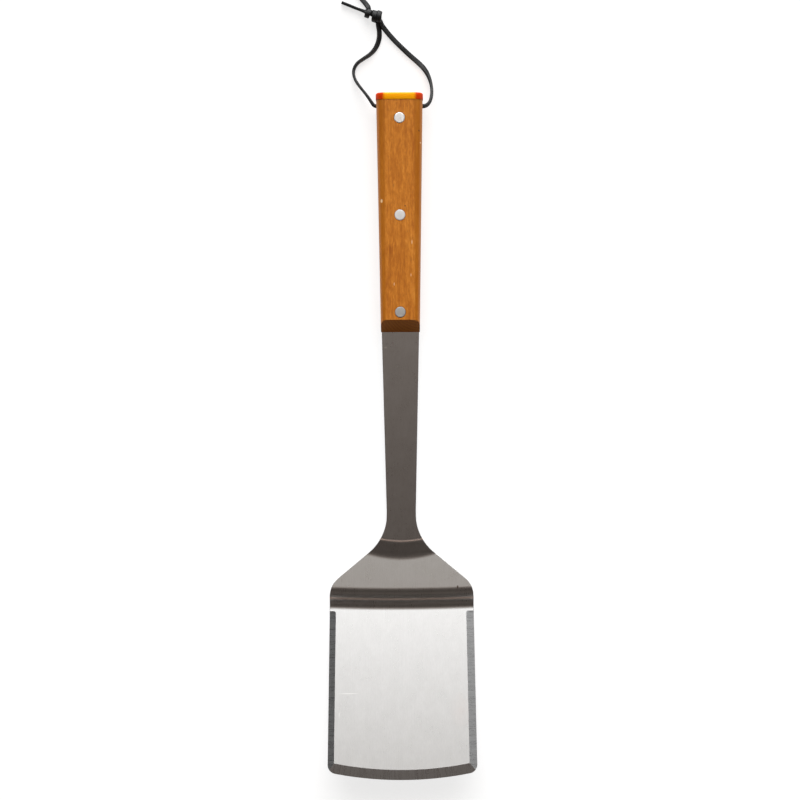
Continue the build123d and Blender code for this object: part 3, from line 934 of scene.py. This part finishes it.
def make_cap(material):
    """The end cap: a rounded plate with softened rims and blind holes for its pins."""
    def rim(y, inset):
        half_x = BUTT_WIDTH / 2 + CAP_PROUD - inset
        half_z = WOOD_THICK / 2 + CAP_PROUD - inset
        corner = BUTT_ROUND + CAP_PROUD - inset
        ring = []
        for quarter, (sx, sz) in enumerate(((1, 1), (-1, 1), (-1, -1), (1, -1))):
            for angle in np.radians(np.linspace(0, 90, 13) + 90 * quarter):
                x = sx * (half_x - corner) + corner * math.cos(angle)
                z = sz * (half_z - corner) + corner * math.sin(angle)
                ring.append(HANDLE @ Vector((x, WOOD_LENGTH + y, z)))
        return ring

    rings = [rim(0.0, CAP_SOFT), rim(CAP_SOFT * 0.3, CAP_SOFT * 0.3), rim(CAP_SOFT, 0.0)]
    for angle in np.radians(np.linspace(0, 90, 7)):
        inset = CAP_EDGE - CAP_EDGE * math.cos(angle)
        rings.append(rim(CAP_THICK - CAP_EDGE + CAP_EDGE * math.sin(angle), inset))
    cap = closed_mesh("end_cap_anodised", rings, None, material)
    blind = []
    for side in (-1, 1):
        mouth = Vector((0, WOOD_LENGTH, side * PIN_OFFSET))
        blind.append(rod(mouth, Y_AXIS, PIN_DIAMETER / 2, 2 * PIN_IN_CAP, material))
    carve(cap, blind)
    smooth(cap, 40.0)
    return finish_piece(cap, "spatula", ["end_cap"])


def make_handle():
    front, back = wood(1), wood(2)
    make_scale("front_scale_wood", 1, front, end_grain(1), "front_scale")
    make_scale("back_scale_wood", -1, back, end_grain(2), "back_scale")
    # Each rivet gets its own copy of the metal, dimmed by painted shade.
    for number, (y, share) in enumerate(zip(rivet_places(), RIVET_PAINTED_SHADING), start=1):
        metal = rivet_metal(number, share)
        make_rivet(number, y, metal)
    make_cap(anodised())
    for node in ("cap_pin_front", "cap_pin_back"):
        pin = frame["nodes"][node]
        pin.data.materials.clear()
        pin.data.materials.append(metal)


# ---- Lace ----

# Routes from the middle of the hole: x and y from the hole's centre, z above the surface, and how
# far the strip has turned from lying flat (0) to standing on its edge (90). Millimetres, degrees.
RIGHT_ROUTE = [
    (0.0, 0.0, 13.72, 60),
    (8.6, 0.0, 13.72, 60),
    (17.2, 0.0, 13.72, 65),
    (19.8, 0.5, 13.5, 75),
    (22.3, 2.9, 12.9, 82),
    (23.7, 7.6, 11.1, 82),
    (24.0, 13.0, 8.2, 82),
    (23.2, 18.8, 5.0, 75),
    (21.6, 24.0, 3.1, 60),
    (18.8, 29.2, 2.0, 30),
    (14.6, 33.6, 1.5, 15),
    (9.0, 38.4, 1.5, 5),
    (2.2, 44.8, 1.5, 0),
    (-4.5, 51.5, 1.5, 5),
    (-10.0, 58.0, 1.9, 12),
    (-13.8, 63.0, 3.0, 15),
]
LEFT_ROUTE = [
    (0.0, 0.0, 13.72, 60),
    (-8.6, 0.0, 13.72, 60),
    (-17.4, 0.0, 13.72, 65),
    (-19.3, 1.4, 13.4, 75),
    (-21.3, 4.8, 12.2, 80),
    (-23.8, 8.6, 10.5, 82),
    (-26.9, 12.8, 8.0, 85),
    (-30.2, 17.2, 5.5, 88),
    (-33.1, 22.2, 3.3, 88),
    (-34.1, 28.0, 1.8, 85),
    (-31.6, 33.4, 1.5, 82),
    (-26.4, 37.0, 1.5, 80),
    (-20.9, 40.4, 1.5, 70),
    (-16.9, 45.2, 1.5, 50),
    (-14.6, 51.4, 1.5, 35),
    (-14.4, 57.4, 2.0, 35),
    (-15.6, 62.6, 3.2, 40),
]
TAIL_LEFT = [
    (-26.2, 72.2, 2.9, 70),
    (-32.2, 74.6, 1.8, 84),
    (-37.4, 76.8, 1.5, 86),
    (-42.2, 78.7, 1.5, 84),
]
TAIL_RIGHT = [
    (-22.2, 74.2, 3.3, 20),
    (-24.4, 77.6, 2.2, 8),
    (-27.4, 81.2, 1.6, 5),
    (-30.3, 85.0, 1.5, 5),
    (-32.2, 89.2, 1.5, 10),
]
# The knot: the left strand wraps twice round the rest, then the right strand once, further out.
KNOT_MIDDLE = (-16.3, 67.7, 4.7)
KNOT_AXIS = Vector((-0.944, 0.330, 0.0))
# Each wrap: where it starts and ends along the axis, its radius, how much fuller it is midway, its
# first and last angle, and how many points it has.
SMALL_TURN_AT = 7.0
BIG_WRAP = (-2.8, 2.6, 3.1, 1.1, 190, -350, 13)
SMALL_WRAP = (SMALL_TURN_AT - 1.4, SMALL_TURN_AT + 0.9, 2.3, 0.4, -60, 320, 9)
# Single points in the knot, each as its place along the axis, its radius and its angle.
OUT_OF_BIG = [(4.0, 1.3, 20), (SMALL_TURN_AT, 1.0, 60)]
CORE = [(-1.8, 1.0, 330), (2.0, 0.9, 300)]


def knot_point(along, radius, degrees):
    """Point and outward direction on a turn about the knot's axis; 0 degrees is level, 90 is up."""
    side = Vector((KNOT_AXIS.y, -KNOT_AXIS.x, 0.0))
    out = side * math.cos(math.radians(degrees)) + Z_AXIS * math.sin(math.radians(degrees))
    return Vector(KNOT_MIDDLE) + KNOT_AXIS * along + out * radius, out


def knot_turn(start_along, end_along, radius, bulge, first, last, count):
    """Evenly spaced points of one strand's turn, from the first angle to the last, fuller midway."""
    points = []
    for i in range(count):
        share = i / (count - 1)
        along = start_along + share * (end_along - start_along)
        fuller = radius + bulge * math.sin(math.pi * share)
        points.append(knot_point(along, fuller, first + share * (last - first)))
    return points


def flat_points(route):
    """Route points with the direction in which the strip's wide face looks."""
    places = [Vector(p[:3]) for p in route]
    made = []
    for i, place in enumerate(places):
        ahead = places[min(i + 1, len(places) - 1)] - places[max(i - 1, 0)]
        face = Vector((0, 0, 1))
        face.rotate(Matrix.Rotation(math.radians(route[i][3]), 3, ahead.normalized()))
        made.append((place, face))
    return made


def lace_line(points):
    """The strand's smooth centreline: a NURBS spline with the route's points as its controls."""
    curve = bpy.data.curves.new("lace_line", "CURVE")
    curve.dimensions = "3D"
    curve.resolution_u = 14
    spline = curve.splines.new("NURBS")
    spline.points.add(len(points) - 1)
    for control, (place, _) in zip(spline.points, points):
        control.co = (HOLE.x + place.x * MM, HOLE.y + place.y * MM, place.z * MM, 1.0)
    spline.order_u = 3
    spline.use_endpoint_u = True
    holder = add_object("lace_line", curve)
    bpy.context.view_layer.update()
    mesh = bpy.data.meshes.new_from_object(holder)
    line = [v.co.copy() for v in mesh.vertices]
    bpy.data.objects.remove(holder)
    bpy.data.meshes.remove(mesh)
    return line


def faces_along(line, points):
    """The wide face's direction at each point of the line, between those of the controls."""
    spans = len(points) - 2
    at = [0.0] + [i - 0.5 for i in range(1, len(points) - 1)] + [float(spans)]
    steps = np.linspace(0, spans, len(line))
    parts = [np.interp(steps, at, [face[k] for _, face in points]) for k in range(3)]
    return [Vector(v) for v in zip(*parts)]


def strip_section():
    """Cross-section of the strip: a rounded rectangle, as (across, up) pairs round the edge."""
    corner = LACE_CORNER
    half_w, half_t = LACE_WIDTH / 2 - corner, LACE_THICK / 2 - corner
    ring = []
    for quarter, (sx, sy) in enumerate([(1, 1), (-1, 1), (-1, -1), (1, -1)]):
        for step in range(4):
            angle = math.radians(90 * quarter + 30 * step)
            ring.append((sx * half_w + corner * math.cos(angle), sy * half_t + corner * math.sin(angle)))
    return ring


def lace_strip(name, points, material):
    """A strand of flat lace along its route, closed at both ends."""
    line = lace_line(points)
    looks = faces_along(line, points)
    section = strip_section()
    rings = []
    for i, place in enumerate(line):
        ahead = (line[min(i + 1, len(line) - 1)] - line[max(i - 1, 0)]).normalized()
        up = (looks[i] - ahead * looks[i].dot(ahead)).normalized()
        across = ahead.cross(up)
        offsets = [across * a + up * b for a, b in section]
        lift = max(0.0, -(place.z + min(o.z for o in offsets)))
        rings.append([place + o + Vector((0, 0, lift)) for o in offsets])
    strip = closed_mesh(name, rings, None, material)
    smooth(strip, 60.0)
    return strip, line


def line_length(line):
    return sum((b - a).length for a, b in zip(line, line[1:]))


def make_lace():
    """Both strands, through the knot to their cut ends."""
    material = leather()
    out_of_big = [knot_point(*point) for point in OUT_OF_BIG]
    left = flat_points(LEFT_ROUTE) + knot_turn(*BIG_WRAP) + out_of_big + flat_points(TAIL_LEFT)
    core = [knot_point(*point) for point in CORE]
    right = flat_points(RIGHT_ROUTE) + core + knot_turn(*SMALL_WRAP) + flat_points(TAIL_RIGHT)
    for side, points, nodes in (
        ("left", left, ["lace_left", "lace_tail_left", "lace_knot"]),
        ("right", right, ["lace_right", "lace_tail_right", "lace_through"]),
    ):
        strip, line = lace_strip(f"lace_strand_{side}", points, material)
        finish_piece(strip, "lace", nodes)
        round(line_length(line), 3)
        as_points(line)


# ---- Studio ----

def make_camera():
    data = bpy.data.cameras.new("camera")
    data.sensor_width = SENSOR
    data.lens = SENSOR * CAMERA_HEIGHT / VIEW_WIDTH
    data.clip_start = 0.05
    data.clip_end = 20
    camera = add_object("camera", data)
    camera.location = (VIEW_SHIFT_X, RIGID_MIDDLE_Y + VIEW_SHIFT_Y, CAMERA_HEIGHT)
    camera.rotation_euler = (0, 0, VIEW_ROLL)
    bpy.context.scene.camera = camera


def make_floor():
    """A pale floor that glows a little, so that it turns white without washing out the shadows."""
    corners = [(x * FLOOR_HALF, y * FLOOR_HALF, 0) for x, y in ((-1, -1), (1, -1), (1, 1), (-1, 1))]
    surface = Surface("floor", Roughness=0.8, Specular_IOR_Level=0.1, Base_Color=FLOOR_GREY,
                      Emission_Color=(1, 1, 1, 1), Emission_Strength=FLOOR_GLOW)
    mesh_object("floor", corners, [(0, 1, 2, 3)], None, [surface.material])


FLOOR_HALF, FLOOR_GREY, FLOOR_GLOW = 4, (0.35, 0.35, 0.35, 1), 0.72

# Brightness of the studio by direction: how far it leans to +Y (the sine of the angle from straight
# up), then how far to +X, with a share for each.
TOWARDS_HANDLE = [
    (-1.00, 0.20), (-0.97, 0.11), (-0.91, 0.06), (-0.80, 0.12), (-0.64, 0.12), (-0.50, 0.07),
    (-0.12, 0.12), (-0.03, 0.20), (0.05, 0.33), (0.17, 0.66), (0.26, 0.76), (0.32, 0.86),
    (0.40, 1.80), (0.50, 2.9), (0.70, 6.4), (1.00, 8.0),
]
ACROSS = [
    (-1.0, 0.26), (-0.68, 0.03), (-0.44, 0.04), (-0.32, 1.0),
    (0.28, 1.0), (0.40, 0.42), (0.60, 0.14), (1.0, 0.26),
]
# Two softer lights at the blade's end, one on each side, keep the steel from going black from behind.
FILL_TOWARDS = [(-1.0, 0.40), (-0.35, 0.40), (-0.10, 0.0), (1.0, 0.0)]
FILL_ACROSS = [(-1.0, 1.0), (-0.68, 0.9), (-0.54, 0.0), (0.54, 0.0), (0.68, 0.9), (1.0, 1.0)]
# The studio's colour by how far the direction leans to +Y: brown in the dark part, neutral in the
# bright one.
WARMTH = [
    (-1.0, (1.0, 0.85, 0.75)), (0.02, (1.0, 0.83, 0.73)),
    (0.22, (1.0, 0.95, 0.88)), (0.38, (1.0, 1.0, 1.0)),
]


def lean_share(tree, lean):
    """A lean from -1 to 1 as a share from 0 to 1."""
    return add_node(tree, "MapRange", {"Value": lean, "From Min": -1}).outputs["Result"]


def curve_of(tree, lean, points):
    """Brightness by lean: a curve of straight stretches through (lean, brightness) points."""
    peak = max(result for _, result in points)
    node = add_node(tree, "FloatCurve", {"Value": lean_share(tree, lean)})
    curve = node.mapping.curves[0]
    while len(curve.points) < len(points):
        curve.points.new(0.5, 0.5)
    for point, (at, result) in zip(curve.points, points):
        point.location = ((at + 1) / 2, result / peak)
        point.handle_type = "VECTOR"
    node.mapping.update()
    factors = {0: node.outputs["Value"], 1: peak}
    return add_node(tree, "Math", factors, operation="MULTIPLY").outputs["Value"]


def make_light():
    """A dark ceiling, a wide soft light beyond the handle's end and two fill lights at the blade's."""
    world = bpy.data.worlds.new("studio")
    bpy.context.scene.world = world
    world.use_nodes = True
    tree = world.node_tree
    direction = add_node(tree, "TexCoord", {}).outputs["Generated"]
    parts = add_node(tree, "SeparateXYZ", {"Vector": direction}).outputs
    lights = []
    for towards, sideways in ((TOWARDS_HANDLE, ACROSS), (FILL_TOWARDS, FILL_ACROSS)):
        factors = {0: curve_of(tree, parts["Y"], towards), 1: curve_of(tree, parts["X"], sideways)}
        lights.append(add_node(tree, "Math", factors, operation="MULTIPLY").outputs["Value"])
    total = add_node(tree, "Math", dict(enumerate(lights)), operation="ADD").outputs["Value"]
    warmth = add_node(tree, "ValToRGB", {"Fac": lean_share(tree, parts["Y"])})
    set_stops(warmth, [((at + 1) / 2, colour) for at, colour in WARMTH])
    background = tree.nodes["Background"]
    tree.links.new(warmth.outputs["Color"], background.inputs["Color"])
    tree.links.new(total, background.inputs["Strength"])


make_camera()
make_lace()
make_plate(brushed_steel(), ground_steel())
make_handle()
make_floor()
make_light()
bpy.context.scene.view_settings.view_transform = "Standard"
